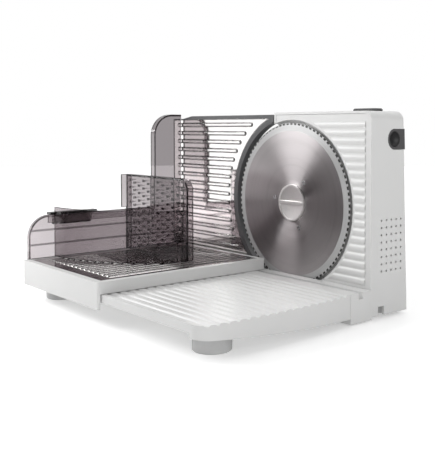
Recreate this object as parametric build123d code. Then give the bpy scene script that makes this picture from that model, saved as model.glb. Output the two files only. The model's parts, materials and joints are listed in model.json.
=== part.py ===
from build123d import *
import math
import os

os.makedirs("parts", exist_ok=True)

# Driving dimensions in millimetres. Every piece is drawn from the blade's centre: X runs along the
# cutting plane, Y runs back into the housing and Z runs up. The last step moves the whole slicer so
# that it stands on Z = 0, centred in X and Y.
clearance = 0.3
seat_gap = 0.2
running_fit = 0.06
overrun = 5.0
wall = 2.5

# Blade: dished disc with a ground bevel and a waved edge
blade_radius = 85.0
blade_thickness = 1.2
blade_dish = 2.5
blade_flat_radius = 24.0
blade_bevel = 8.5
blade_teeth = 90
tooth_depth = 0.9
tooth_shares = [0.0, 1.0]
flank_shares = [0.0, 1.0]
blade_hole_radius = 6.4
bayonet_slot_radius = 8.0
bayonet_slot_width = 4.0
rivet_count = 3
rivet_circle = 28.0
rivet_first_angle = 51.5
rivet_radius = 1.6
rivet_head_radius = 2.4
rivet_head_height = 0.5

# Blade lock: quarter-turn disc with a grip bar
lock_radius = 19.5
lock_thickness = 2.2
lock_rim = 1.9
lock_pocket = 1.7
lock_pocket_edge = 0.5
lock_bar = 3.4
lock_stem_radius = 5.6
lock_lug_radius = 7.4
lock_lug_width = 3.4
lock_lug_thickness = 1.4

# Drive: blade ring gear, double idler and motor pinion
pressure_angle = 20.0
addendum_share = 0.85
dedendum_share = 1.15
backlash_share = 0.22
ring_module = 1.0
ring_teeth = 72
ring_width = 5.5
ring_web = 2.4
ring_rim = 5.0
idler_small_teeth = 12
idler_large_teeth = 50
motor_module = 0.8
motor_teeth = 10
large_gear_width = 3.5
gear_step = 0.9
idler_direction = 50.0
motor_direction = 40.0
axle_radius = 5.0
axle_flange_radius = 9.0
axle_flange = 2.0
hub_wall = 4.0
idler_pin_radius = 2.0
idler_head_radius = 4.0
idler_head = 1.5
clip_thickness = 0.6
clip_width = 1.3
gearbox_plate_thickness = 3.0
axle_pad = 20.0
post_radius = 4.0
post_pad = 6.5
post_places = [(-16.0, 44.0), (41.0, -24.0), (61.0, 26.0)]
motor_radius = 17.0
motor_length = 26.0
motor_wall = 1.3
motor_cap = 2.6
magnet_thickness = 3.0
magnet_arc = 60.0
rotor_radius = 10.6
rotor_share = 0.62
shaft_radius = 1.6
motor_pad = 4.0

# Housing
housing_left = 27.0
housing_right = 112.0
housing_rise = 11.0
cord_room = 9.0
housing_front = 0.5
depth_top = 49.0
depth_bottom = 56.0
top_corner_radius = 9.0
edge_radius = 2.5
recess_gap = 3.0
recess_depth = 6.0
gear_window_gap = 3.0
vent_columns = 5
vent_rows = 8
vent_pitch_y = 7.2
vent_pitch_z = 7.06
vent_first_y = 15.8
vent_first_z = -10.0
vent_radius = 1.25
vent_sides = 6
notch_start = 11.1
notch_width = 8.9
screw_radius = 1.5
screw_head_radius = 3.2
screw_head = 2.0
screw_sides = 6
boss_radius = 4.6
housing_screw_left = 17.0
housing_screw_right = 99.0
housing_screw_drop = 13.0
housing_screw_rise = 10.7
housing_screw_middle = 28.0
housing_screw_lower = 40.0
housing_boss_length = 7.0
base_screw_xs = [-14.0, 46.0, 100.0]
base_boss_length = 12.0

# Ribbed front panel
panel_face = 1.0
panel_thickness = 2.5
panel_rib_pitch = 8.0
panel_rib_height = 1.1
panel_rib_drop = 10.0
panel_rib_flat_share = 0.16
panel_margin = 5.5

# Side bezel and the two buttons
bezel_radius = 10.15
bezel_y = 34.8
bezel_drop = 27.5
bezel_depth = 7.0
side_button_radius = 7.4
side_button_length = 6.8
side_button_inset = 0.4
side_button_travel = 2.5
dimple_depth = 3.0
flange_width = 1.5
flange_thickness = 1.4
side_stem_radius = 3.0
side_stem = 6.0
top_button_length = 31.5
top_button_width = 14.0
top_button_x = 86.3
top_button_y = 24.0
top_button_proud = 2.8
top_button_travel = 2.3
top_button_edge = 1.2
top_button_corner_share = 0.33
top_stem_width = 8.0
top_stem = 6.0
switch_wall = 0.3
power_switch_length = 24.0
power_switch_depth = 15.0
interlock_length = 16.0
interlock_depth = 14.0
interlock_height = 15.0
shelf_thickness = 2.8
grommet_place = (60.0, 30.0)
grommet_radius = 5.5
grommet_bore = 3.2
grommet_flange = 1.8

# Base block, table and feet
ground_gap = 3.3
rear_pad = 1.5
block_height = 28.5
block_front = 29.0
block_left = 201.0
block_right = 113.4
groove_y = 15.0
groove_width = 6.0
groove_depth = 6.0
blade_gap = 1.2
table_left = 200.0
table_front = 205.0
table_bulge = 6.4
bulge_front_share = 0.667
table_corner = 13.0
table_rib_pitch = 10.0
table_groove_width = 5.2
table_groove_floor = 2.4
table_groove_depth = 1.2
first_groove_share = 0.8
skirt_rear = 23.0
skirt_front = 11.0
skirt_bow = 2.0
edge_drop = 7.5
post_width = 17.0
foot_radius = 17.0
foot_height = 15.5
foot_chamfer = 1.0
rear_foot_radius = 10.0
front_foot_right = (88.0, -171.0)
front_foot_left = (-180.0, -174.0)
rear_foot_right = (88.0, 38.0)
rear_foot_left = (-184.0, -15.0)
table_screw_xs = [-160.0, -60.0, 30.0, 96.0]
table_screw_drop = 14.0
table_screw_length = 12.0

# Carriage
carriage_rise = 11.8
carriage_left = 203.0
carriage_right = 37.0
carriage_front = 208.5
carriage_rear = 4.0
carriage_skirt = 26.1
carriage_corner = 3.0
sheet_thickness = 0.8
sheet_left_margin = 9.0
sheet_right_margin = 7.5
sheet_front_margin = 7.0
sheet_rear_margin = 5.0
carriage_rib_pitch = 9.0
carriage_rib_width = 4.4
carriage_rib_height = 0.9
carriage_rib_start = 13.0
carriage_rib_end = 6.0
rib_slope = 35.0
rib_end_angles = [-90.0, -50.0, -17.0, 17.0, 50.0, 90.0]

# Guard
guard_face = 199.0
guard_thickness = 2.5
guard_front_gap = 5.5
guard_rear = 2.5
guard_height = 47.0
guard_corner = 24.0
tall_width = 39.0
tall_top = 96.0
tall_corner = 26.0
tall_rim = 9.0
rim_thickness = 2.0
rail_height = 9.2
rail_width = 5.5
rail_lip = 1.4
line_height = 1.2
line_proud = 1.0
line_drops = [16.5, 32.1]

# Pusher
pusher_right = 72.0
pusher_rear = 75.2
pusher_depth = 8.4
pusher_height = 88.7
pusher_corner = 13.0
pusher_plate_thickness = 2.5
pusher_rim = 2.0
pusher_edge = 1.6
pusher_flange = 6.5
pusher_lift = 1.3
saddle_front = 179.0
saddle_length = 57.4
saddle_cap = 2.4
saddle_inset = 6.0
saddle_leg = 1.6
saddle_hook = 1.6
saddle_skirt = 8.8
shield_rise = 8.7
shield_front = 174.5
shield_thickness = 2.5
shield_curve = 1.78
shield_angles = [0.0, 14.0, 28.0, 42.0, 56.0, 70.0, 80.0, 90.0]
spike_pitch_x = 9.8
spike_pitch_z = 8.7
spike_width = 2.6
spike_length = 9.4
spike_taper = 5.5
spike_columns = 12
spike_rows = 9
spike_margin = 6.5
spike_stagger = 3

# Thickness gauge
gauge_left = 220.0
gauge_gap = 0.8
gauge_rise = 8.8
gauge_bar = 4.3
gauge_step = 3.0
gauge_step_start = 197.0
gauge_step_end = 180.0
gauge_drop = 2.5
gauge_band_gap = 5.0
gauge_band = 6.0
gauge_left_frame = 1.6
gauge_sheet_rise = 5.5
gauge_plate = 2.4
gauge_stiffener = 5.0
gauge_stiffener_width = 1.8
gauge_stiffener_columns = 5
gauge_stiffener_rows = 4
gauge_rib_drop = 10.7
gauge_rib_pitch = 10.05
gauge_rib_width = 4.4
gauge_rib_height = 1.2
gauge_rib_left = 10.0
gauge_rib_end_gap = 8.0
gauge_travel = 15.0
arm_start = 12.0
arm_thickness = 8.0
arm_rise = 10.0
arm_drop = 6.0
arm_left = 78.0
arm_post_width = 26.0
slider_left = 20.0
slider_right = 32.0
slider_rise = 9.0
slider_drop = 12.0
rod_radius = 3.0
rod_xs = [-12.0, 24.0]
rod_rise = 14.7
bush_wall = 1.4
rod_boss_radius = 5.5
rod_boss_length = 6.0
spindle_radius = 4.0
spindle_x = 6.0
spindle_rise = 15.0
nut_radius = 7.0
nut_flange_radius = 8.6
nut_flange = 1.2
panel_boss = 1.8
dial_pad_radius = 26.5
dial_pad = 1.6
dial_radius = 24.0
dial_height = 14.0
dial_flutes = 24
dial_flute_radius = 1.8
flute_sides = 4
dial_grip_width = 8.0
dial_grip_height = 5.0
dial_chamfer = 1.5

# Places worked out from the driving dimensions
recess_radius = blade_radius + recess_gap
recess_floor = recess_depth + wall
blade_back = blade_dish + blade_thickness
ring_back = blade_back + ring_width
ring_pitch_radius = ring_module * ring_teeth / 2
small_pitch_radius = ring_module * idler_small_teeth / 2
large_pitch_radius = motor_module * idler_large_teeth / 2
motor_pitch_radius = motor_module * motor_teeth / 2
idler_distance = ring_pitch_radius + small_pitch_radius
motor_distance = large_pitch_radius + motor_pitch_radius
idler_x = idler_distance * math.cos(math.radians(idler_direction))
idler_z = idler_distance * math.sin(math.radians(idler_direction))
motor_x = idler_x + motor_distance * math.cos(math.radians(motor_direction))
motor_z = idler_z + motor_distance * math.sin(math.radians(motor_direction))
idler_front = blade_back + 2 * clip_thickness
large_front = ring_back + gear_step
large_back = large_front + large_gear_width
plate_front = large_back + gear_step
plate_back = plate_front + gearbox_plate_thickness
bottom_wall_top = -(recess_radius + wall + seat_gap)
bottom_wall_low = bottom_wall_top - wall
housing_top = blade_radius + housing_rise
housing_bottom = cord_room - bottom_wall_low
ground = housing_bottom + ground_gap
block_bottom = ground - rear_pad
table_top = block_bottom - block_height
carriage_top = table_top - carriage_rise
panel_rib_first = housing_top - panel_rib_drop
panel_rib_count = int((panel_rib_first + table_top) / panel_rib_pitch)
bezel_z = housing_top - bezel_drop
housing_screw_places = [
    (-housing_screw_left, housing_top - housing_screw_drop),
    (housing_screw_right, housing_screw_middle),
    (housing_screw_right, bottom_wall_top + housing_screw_rise),
    (-housing_screw_left, -housing_screw_lower),
]
gauge_top = blade_radius + gauge_rise
gauge_bottom = table_top + gauge_drop
gauge_sheet_bottom = table_top - gauge_sheet_rise
gauge_band_inner = blade_radius + gauge_band_gap
gauge_rib_first = gauge_top - gauge_rib_drop
gauge_rib_count = int((gauge_rib_first + gauge_sheet_bottom) / gauge_rib_pitch)
rod_z = bottom_wall_top + rod_rise
spindle_z = rod_z + spindle_rise
arm_top = -rod_z - arm_rise
arm_bottom = -rod_z + arm_drop
slider_top = -spindle_z - slider_rise
slider_bottom = -rod_z + slider_drop
gauge_right = housing_left + gauge_gap
block_rear = housing_front - seat_gap
carriage_foot = table_top - clearance
rail_bottom = -(carriage_top - guard_height) - rail_height
guard_top = -(carriage_top - guard_height)
rail_outer = guard_face + rail_width
pusher_bottom = -carriage_top + pusher_lift
pusher_top = -carriage_top + pusher_height
shield_top = guard_top + shield_rise
pusher_left = -guard_face + clearance + saddle_leg
shelf_top = bezel_z - interlock_height / 2


def housing_depth(z):
    """Y of the slanted rear face at height z."""
    share = (housing_top - z) / (housing_top + housing_bottom)
    return depth_top + (depth_bottom - depth_top) * share


dial_face = housing_depth(spindle_z) + dial_pad
x_shift = (gauge_left - block_right - table_bulge) / 2
y_shift = (carriage_front - dial_face - clearance - dial_height) / 2
z_shift = ground


def keep(node, *solids):
    """Move the finished piece into the slicer's frame and write it."""
    placed = [Pos(x_shift, y_shift, z_shift) * solid for solid in solids]
    shape = placed[0] if len(placed) == 1 else Compound(children=placed)
    export_step(shape, "parts/" + node + ".step")


def block(x0, x1, y0, y1, z0, z1):
    """Box between two opposite corners."""
    corner = Pos(min(x0, x1), min(y0, y1), min(z0, z1))
    return corner * Box(abs(x1 - x0), abs(y1 - y0), abs(z1 - z0), align=(Align.MIN, Align.MIN, Align.MIN))


def rod_x(y, z, radius, x0, x1):
    """Cylinder along X."""
    return Pos(x0, y, z) * Rot(0, 90, 0) * Cylinder(radius, x1 - x0, align=(Align.CENTER, Align.CENTER, Align.MIN))


def rod_y(x, z, radius, y0, y1):
    """Cylinder along Y."""
    return Pos(x, y0, z) * Rot(-90, 0, 0) * Cylinder(radius, y1 - y0, align=(Align.CENTER, Align.CENTER, Align.MIN))


def rod_z_axis(x, y, radius, z0, z1):
    """Cylinder along Z."""
    return Pos(x, y, z0) * Cylinder(radius, z1 - z0, align=(Align.CENTER, Align.CENTER, Align.MIN))


def along_x(outline, x0, x1):
    """Push an outline drawn in Y and Z from x0 to x1."""
    return extrude(Plane.YZ.offset(x0) * outline, amount=x1 - x0)


def along_y(outline, y0, y1):
    """Push an outline drawn in X and Z from y0 to y1."""
    return extrude(Plane.XZ.offset(-y0) * outline, amount=y1 - y0, dir=(0, 1, 0))


def along_z(outline, z0, z1):
    """Push an outline drawn in X and Y from z0 to z1."""
    return extrude(Plane.XY.offset(z0) * outline, amount=z1 - z0)


def flat(points):
    """Closed flat face through the given points."""
    return make_face(Polyline(*points, close=True))


def turned(points):
    """Solid of revolution about the blade's axis from points given as radius and Y."""
    return revolve(flat([(radius, y, 0) for radius, y in points]), axis=Axis.Y)


def involute(angle):
    """Involute function of an angle in radians."""
    return math.tan(angle) - angle


def gear_outline(teeth, module, turn):
    """Involute gear outline with a tooth centred at the angle turn, in degrees."""
    pitch_r = module * teeth / 2
    base_r = pitch_r * math.cos(math.radians(pressure_angle))
    tip_r = pitch_r + module * addendum_share
    root_r = pitch_r - module * dedendum_share
    half_pitch = math.pi / (2 * teeth) - backlash_share * module / (4 * pitch_r)
    start_r = max(base_r, root_r)
    flank = [start_r + (tip_r - start_r) * share for share in flank_shares]
    points = []
    for tooth in range(teeth):
        middle = math.radians(turn) + 2 * math.pi * tooth / teeth
        side = [(root_r, half_pitch + involute(math.radians(pressure_angle)))]
        if root_r >= base_r:
            side = []
        for r in flank:
            angle = math.acos(min(base_r / r, 1.0))
            side.append((r, half_pitch + involute(math.radians(pressure_angle)) - involute(angle)))
        points += [(r * math.cos(middle - a), r * math.sin(middle - a)) for r, a in side]
        points += [(r * math.cos(middle + a), r * math.sin(middle + a)) for r, a in reversed(side)]
    return flat(points)


def hexagon_y(x, z, radius, y0, y1):
    """Six-sided bar along Y."""
    return along_y(Pos(x, z) * RegularPolygon(radius, screw_sides), min(y0, y1), max(y0, y1))


def screw(x, z, head_y, shank_end, direction):
    """Hexagon-headed screw along Y, its head on the side that direction points away from."""
    head = hexagon_y(x, z, screw_head_radius, head_y, head_y - direction * screw_head)
    return head + hexagon_y(x, z, screw_radius, head_y, shank_end)


def make_blade():
    """Dished blade with its bevel, waved edge, centre hole and rivet holes."""
    bevel_start = blade_radius - blade_bevel
    disc = turned(
        [
            (0, blade_dish),
            (blade_flat_radius, blade_dish),
            (bevel_start, 0),
            (blade_radius, blade_thickness - clearance),
            (blade_radius, blade_thickness),
            (bevel_start, blade_thickness),
            (blade_flat_radius, blade_back),
            (0, blade_back),
        ]
    )
    edge = []
    for step in range(blade_teeth * len(tooth_shares)):
        angle = 2 * math.pi * step / (blade_teeth * len(tooth_shares))
        r = blade_radius - tooth_depth * tooth_shares[step % len(tooth_shares)]
        edge.append((r * math.cos(angle), r * math.sin(angle)))
    disc &= along_y(flat(edge), -overrun, blade_back + overrun)
    disc -= rod_y(0, 0, blade_hole_radius, -overrun, blade_back + overrun)
    half = bayonet_slot_width / 2
    disc -= block(-half, half, 0, blade_back + overrun, -bayonet_slot_radius, bayonet_slot_radius)
    for x, z in rivet_places():
        disc -= rod_y(x, z, rivet_radius + running_fit, 0, blade_back + overrun)
    return disc


def rivet_places():
    """Centres of the rivets that join the ring gear to the blade."""
    places = []
    for index in range(rivet_count):
        angle = math.radians(rivet_first_angle + 360 * index / rivet_count)
        places.append((rivet_circle * math.cos(angle), rivet_circle * math.sin(angle)))
    return places


def rivet_base(x, z):
    """Y of the blade's front face at a rivet."""
    r = math.hypot(x, z)
    bevel_start = blade_radius - blade_bevel
    return blade_dish * min(1, (bevel_start - r) / (bevel_start - blade_flat_radius))


def make_ring_gear():
    """Ring gear behind the blade: rim with teeth, web and hub."""
    outer = along_y(gear_outline(ring_teeth, ring_module, idler_direction), blade_back, ring_back)
    rim_inner = ring_pitch_radius - ring_module * dedendum_share - ring_rim
    gear = outer - rod_y(0, 0, rim_inner, blade_back + ring_web, ring_back + overrun)
    gear += rod_y(0, 0, axle_radius + hub_wall, blade_back, plate_front - clearance)
    for x, z in rivet_places():
        gear += rod_y(x, z, rivet_radius + ring_web, blade_back, ring_back - ring_web)
        gear -= rod_y(x, z, rivet_radius + running_fit, 0, ring_back + overrun)
    stem_room = lock_lug_radius + clearance
    gear -= rod_y(0, 0, stem_room, blade_back - overrun, blade_back + 2 * lock_lug_thickness)
    return gear - rod_y(0, 0, axle_radius + running_fit, blade_back, plate_front + overrun)


def make_rivets():
    """Rivets through the blade and the ring gear."""
    rivets = []
    for x, z in rivet_places():
        face = rivet_base(x, z)
        shank = hexagon_y(x, z, rivet_radius, face - rivet_head_height, ring_back - ring_web)
        rivets.append(shank + rod_y(x, z, rivet_head_radius, face - rivet_head_height, face - seat_gap / 2))
    return rivets


def make_blade_lock():
    """Quarter-turn lock: rimmed disc with two half-moon pockets, a grip bar and a bayonet stem."""
    back = blade_dish - clearance
    front = back - lock_thickness
    disc = rod_y(0, 0, lock_radius, front, back)
    reach = lock_radius - lock_rim
    depth = lock_pocket - lock_pocket_edge
    ball = (reach * reach + depth * depth) / (2 * depth)
    pocket = rod_y(0, 0, reach, front - overrun, front + lock_pocket)
    pocket &= Pos(0, front + lock_pocket - ball, 0) * Sphere(ball)
    pocket -= block(-lock_radius, lock_radius, front - 2 * overrun, back, -lock_bar / 2, lock_bar / 2)
    disc -= pocket
    lug_start = blade_back + clearance
    disc += rod_y(0, 0, lock_stem_radius, back, lug_start + lock_lug_thickness)
    lug = block(
        -lock_lug_radius,
        lock_lug_radius,
        lug_start,
        lug_start + lock_lug_thickness,
        -lock_lug_width / 2,
        lock_lug_width / 2,
    )
    return disc + (lug & rod_y(0, 0, lock_lug_radius, 0, blade_back + overrun))


def make_stub_axle():
    """Fixed axle that carries the blade, with a flange behind the gearbox plate."""
    front = blade_back + 2 * lock_lug_thickness + clearance
    return rod_y(0, 0, axle_radius, front, plate_back) + rod_y(
        0, 0, axle_flange_radius, plate_back, plate_back + axle_flange
    )


def make_idler():
    """Double idler: small pinion in front of the large wheel."""
    small = gear_outline(idler_small_teeth, ring_module, idler_direction + 180 + 180 / idler_small_teeth)
    large = gear_outline(idler_large_teeth, motor_module, motor_direction)
    idler = along_y(small, idler_front, large_front) + along_y(large, large_front, large_back)
    idler = Pos(idler_x, 0, idler_z) * idler
    return idler - rod_y(idler_x, idler_z, idler_pin_radius + running_fit, 0, plate_back)


def make_idler_pin():
    """Headed pin of the idler."""
    pin = rod_y(idler_x, idler_z, idler_pin_radius, idler_front - clip_thickness - clearance, plate_back)
    return pin + rod_y(idler_x, idler_z, idler_head_radius, plate_back, plate_back + idler_head)


def make_idler_clip():
    """Snap ring that keeps the idler on its pin."""
    back = idler_front - clearance / 2
    ring = rod_y(idler_x, idler_z, idler_pin_radius + clip_width, back - clip_thickness, back)
    return ring - rod_y(idler_x, idler_z, idler_pin_radius + running_fit, 0, plate_back)


def make_gearbox_plate():
    """Plate behind the blade that carries the axle, the idler pin and the motor."""
    pads = [Pos(0, 0) * Circle(axle_pad), Pos(motor_x, motor_z) * Circle(motor_radius + motor_pad)]
    pads += [Pos(x, z) * Circle(post_pad) for x, z in post_places]
    edges = [edge for pad in pads for edge in pad.edges()]
    plate = along_y(make_hull(edges), plate_front, plate_back)
    plate -= rod_y(0, 0, axle_radius + running_fit, 0, plate_back + overrun)
    plate -= rod_y(idler_x, idler_z, idler_pin_radius + running_fit, 0, plate_back + overrun)
    plate -= rod_y(motor_x, motor_z, motor_pitch_radius, 0, plate_back + overrun)
    for x, z in post_places:
        plate -= rod_y(x, z, screw_radius + running_fit, 0, plate_back + overrun)
    return plate


def make_motor_can():
    """Deep-drawn motor can with its front wall and shaft hole."""
    back = plate_back + motor_length
    can = rod_y(motor_x, motor_z, motor_radius, plate_back, back)
    can -= rod_y(motor_x, motor_z, motor_radius - motor_wall, plate_back + motor_wall, back + overrun)
    return can - rod_y(motor_x, motor_z, shaft_radius + running_fit, 0, back)


def make_motor_cap():
    """Brush cap that closes the motor can, with its two terminals."""
    front = plate_back + motor_length
    cap = rod_y(motor_x, motor_z, motor_radius, front, front + motor_cap)
    return cap - rod_y(motor_x, motor_z, shaft_radius + running_fit, 0, front + motor_cap - motor_wall)


def make_magnets():
    """Two curved magnets inside the motor can."""
    front = plate_back + motor_wall
    back = plate_back + motor_length - motor_wall
    outer = motor_radius - motor_wall - running_fit
    tube = rod_y(motor_x, motor_z, outer, front, back)
    tube -= rod_y(motor_x, motor_z, outer - magnet_thickness, front - overrun, back + overrun)
    half_height = outer * math.sin(math.radians(magnet_arc))
    room = motor_radius * 2
    gap = block(motor_x - outer, motor_x + outer, front - overrun, back + overrun, motor_z, motor_z + room)
    gap = Pos(0, 0, half_height) * gap
    tube -= gap
    tube -= Pos(0, 0, -2 * half_height - room) * gap
    slot_half = (outer - magnet_thickness) / 2
    tube -= block(
        motor_x - slot_half, motor_x + slot_half, front - overrun, back + overrun, motor_z - outer, motor_z + outer
    )
    return tube.solids()


def make_rotor():
    """Motor shaft with its armature."""
    back = plate_back + motor_length
    shaft = rod_y(motor_x, motor_z, shaft_radius, large_front, back + motor_cap - motor_wall - clearance)
    middle = (plate_back + back) / 2
    half = motor_length * rotor_share / 2
    return shaft + rod_y(motor_x, motor_z, rotor_radius, middle - half, middle + half)


def make_motor_pinion():
    """Pinion pressed on the motor shaft."""
    outline = gear_outline(motor_teeth, motor_module, motor_direction + 180 + 180 / motor_teeth)
    pinion = Pos(motor_x, 0, motor_z) * along_y(outline, large_front, large_back)
    return pinion - rod_y(motor_x, motor_z, shaft_radius + running_fit / 2, 0, plate_back)


def housing_outline(inset):
    """Housing outline in X and Z, drawn in by inset, with its rounded upper right corner."""
    x0 = -housing_left + inset
    x1 = housing_right - inset
    z0 = -housing_bottom + inset
    z1 = housing_top - inset
    radius = top_corner_radius - inset
    return make_face(
        Line((x0, z0), (x0, z1))
        + Line((x0, z1), (x1 - radius, z1))
        + RadiusArc((x1 - radius, z1), (x1, z1 - radius), radius)
        + Line((x1, z1 - radius), (x1, z0))
        + Line((x1, z0), (x0, z0))
    )


def housing_body(inset):
    """Solid between the housing's front edge and its slanted rear face, drawn in by inset."""
    side = flat(
        [
            (housing_front - overrun * (inset > 0), -housing_bottom),
            (housing_depth(-housing_bottom) - inset, -housing_bottom),
            (housing_depth(housing_top) - inset, housing_top),
            (housing_front - overrun * (inset > 0), housing_top),
        ]
    )
    body = along_y(housing_outline(inset), housing_front - overrun, depth_bottom + overrun)
    return body & along_x(side, -housing_left - overrun, housing_right + overrun)


def bezel_outline(gap):
    """D-shaped outline in Y and Z that runs out through the rear edge."""
    radius = bezel_radius + gap
    end = depth_bottom + overrun
    return Pos(bezel_y, bezel_z) * Circle(radius) + flat(
        [
            (bezel_y, bezel_z - radius),
            (end, bezel_z - radius),
            (end, bezel_z + radius),
            (bezel_y, bezel_z + radius),
        ]
    )


def make_housing_shell():
    """Housing moulding: side, top, bottom and rear walls with their bosses, holes and cord space."""
    outer = housing_body(0)
    rear = outer.faces().sort_by(Axis.Y)[-1]
    outer = fillet(rear.edges(), edge_radius)
    cavity = housing_body(wall)
    cavity -= block(
        -housing_left - overrun,
        housing_right + overrun,
        -overrun * 2,
        depth_bottom + overrun,
        -housing_bottom - overrun,
        bottom_wall_top,
    )
    shell = outer - cavity
    cord_space = block(
        -housing_left + wall,
        housing_right - wall,
        -overrun,
        housing_depth(-housing_bottom) - wall * 2,
        -housing_bottom - overrun,
        bottom_wall_low,
    )
    shell -= cord_space
    for x, z in housing_screw_places:
        rear_y = housing_depth(z)
        boss_front = rear_y - wall - housing_boss_length
        boss = rod_y(x, z, boss_radius, boss_front, rear_y - wall / 2)
        shell += boss
        shell -= rod_y(x, z, screw_radius + running_fit, boss_front - overrun, rear_y + overrun)
        shell -= rod_y(x, z, screw_head_radius + clearance, rear_y - wall, rear_y + overrun)
    for x in rod_xs:
        rear_y = housing_depth(rod_z)
        shell += rod_y(x, rod_z, rod_boss_radius, rear_y - wall - rod_boss_length, rear_y - wall / 2)
        shell -= rod_y(x, rod_z, rod_radius + running_fit, rear_y - wall - rod_boss_length - overrun, rear_y - wall)
    pad = rod_y(spindle_x, spindle_z, dial_pad_radius, housing_depth(spindle_z) - wall / 2, dial_face)
    shell += pad
    shell -= rod_y(spindle_x, spindle_z, spindle_radius + running_fit, 0, dial_face + overrun)
    for x in base_screw_xs:
        z = base_screw_z()
        shell += rod_y(x, z, boss_radius, housing_front, base_boss_length)
        shell -= rod_y(x, z, screw_radius + running_fit, 0, base_boss_length + overrun)
    shell += rod_z_axis(*rear_foot_right, rear_foot_radius - wall, bottom_wall_low - foot_seat(), bottom_wall_low)
    window = ring_pitch_radius + gear_window_gap
    bulge_back = ring_back + gear_step + wall
    bulge = rod_y(0, 0, window + wall, recess_depth, bulge_back)
    shell += bulge & block(-recess_radius, -housing_left + wall, 0, depth_top, -recess_radius, recess_radius)
    shell -= rod_y(0, 0, window, -overrun, bulge_back - wall)
    shell -= rod_y(0, 0, recess_radius, -overrun, recess_depth)
    shell -= block(
        -housing_left - overrun,
        -housing_left + wall + seat_gap,
        arm_start - clearance * 2,
        arm_start + arm_thickness + gauge_travel + clearance * 2,
        -arm_bottom - clearance * 2,
        -arm_top + clearance * 2,
    )
    shell -= along_x(bezel_outline(seat_gap), housing_right - bezel_depth - overrun, housing_right + overrun)
    hole = Pos(top_button_x, top_button_y) * RectangleRounded(
        top_button_length + 2 * clearance, top_button_width + 2 * clearance, top_button_width * top_button_corner_share
    )
    shell -= along_z(hole, housing_top - wall * 2, housing_top + overrun)
    shell -= block(
        housing_right - wall * 2,
        housing_right + overrun,
        notch_start,
        notch_start + notch_width,
        -housing_bottom - overrun,
        bottom_wall_low,
    )
    vent = along_x(RegularPolygon(vent_radius, vent_sides), housing_right - wall * 2, housing_right + overrun)
    for column in range(vent_columns):
        for row in range(vent_rows):
            shell -= Pos(0, vent_first_y + column * vent_pitch_y, vent_first_z - row * vent_pitch_z) * vent
    shell -= rod_z_axis(*grommet_place, grommet_radius + seat_gap, -housing_bottom, bottom_wall_top + overrun)
    return shell


def base_screw_z():
    """Height of the screws that join the base block to the housing."""
    return bottom_wall_low - boss_radius + seat_gap


def foot_seat():
    """Length of the pegs that the rear feet push on to."""
    return (ground - block_bottom) * 2


def panel_ribs():
    """Soft horizontal ribs of the front panel, to the right of the blade recess."""
    bottom = panel_rib_first - panel_rib_pitch * panel_rib_count
    valley = panel_rib_pitch * panel_rib_flat_share
    profile = []
    for index in range(panel_rib_count):
        top = panel_rib_first - index * panel_rib_pitch
        low = top - panel_rib_pitch + valley
        middle = (top + low) / 2
        profile.append(Line((panel_face, low), (panel_face, low - valley)))
        profile.append(ThreePointArc((panel_face, top), (panel_face - panel_rib_height, middle), (panel_face, low)))
    back = panel_face + panel_thickness / 2
    first = panel_rib_first
    profile.append(Polyline((panel_face, bottom), (back, bottom), (back, first), (panel_face, first)))
    outline = profile[0]
    for piece in profile[1:]:
        outline += piece
    ribs = along_x(make_face(outline), 0, housing_right - wall - panel_margin)
    return ribs - rod_y(0, 0, recess_radius + wall + seat_gap, -overrun, panel_face + overrun)


def make_front_panel():
    """Ribbed front panel with the blade bowl, gear window, posts and bosses behind it."""
    outline = housing_outline(wall + seat_gap)
    plate = along_y(outline, panel_face, panel_face + panel_thickness)
    bowl = along_y(outline, panel_face, recess_floor) & rod_y(0, 0, recess_radius + wall, 0, recess_floor)
    trim = block(
        -housing_left, housing_right, 0, depth_bottom, -housing_bottom - overrun, bottom_wall_top + seat_gap
    )
    panel = plate + bowl - trim
    panel += panel_ribs()
    panel -= rod_y(0, 0, recess_radius, -overrun, recess_depth)
    for x, z in post_places:
        panel += rod_y(x, z, post_radius, recess_depth + wall / 2, plate_front)
    for x, z in housing_screw_places:
        end = housing_depth(z) - wall - housing_boss_length
        in_bowl = math.hypot(x, z) < recess_radius
        start = recess_depth + wall / 2 if in_bowl else panel_face + panel_thickness / 2
        panel += rod_y(x, z, boss_radius, start, end)
        panel -= rod_y(x, z, screw_radius + running_fit, recess_floor, end + overrun)
    for x in rod_xs:
        panel += rod_y(x, rod_z, rod_boss_radius, recess_depth + wall / 2, recess_floor + panel_boss)
        panel -= rod_y(x, rod_z, rod_radius + running_fit, recess_depth + wall / 2, recess_floor + overrun)
    panel += rod_y(spindle_x, spindle_z, rod_boss_radius, recess_depth + wall / 2, recess_floor + panel_boss)
    panel -= rod_y(spindle_x, spindle_z, spindle_radius + running_fit, recess_depth + wall / 2, recess_floor + overrun)
    for x, z in post_places:
        panel -= rod_y(x, z, screw_radius + running_fit, recess_floor, plate_front + overrun)
    window = ring_pitch_radius + gear_window_gap
    panel -= rod_y(0, 0, window, -overrun, recess_floor + overrun)
    panel -= rod_y(idler_x, idler_z, small_pitch_radius + gear_window_gap, -overrun, recess_floor + overrun)
    shelf = block(
        top_button_x - power_switch_length / 2 - wall,
        housing_right - wall - bezel_depth - side_stem + wall,
        panel_face + panel_thickness / 2,
        bezel_y + interlock_depth / 2,
        shelf_top - seat_gap - shelf_thickness,
        shelf_top - seat_gap,
    )
    return panel + shelf


def make_side_bezel():
    """Dark D-shaped insert of the right wall that wraps round the rear edge."""
    bezel = housing_body(0) & along_x(bezel_outline(0), housing_right - bezel_depth, housing_right + overrun)
    return bezel - rod_x(bezel_y, bezel_z, side_button_radius + clearance, 0, housing_right + overrun)


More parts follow.
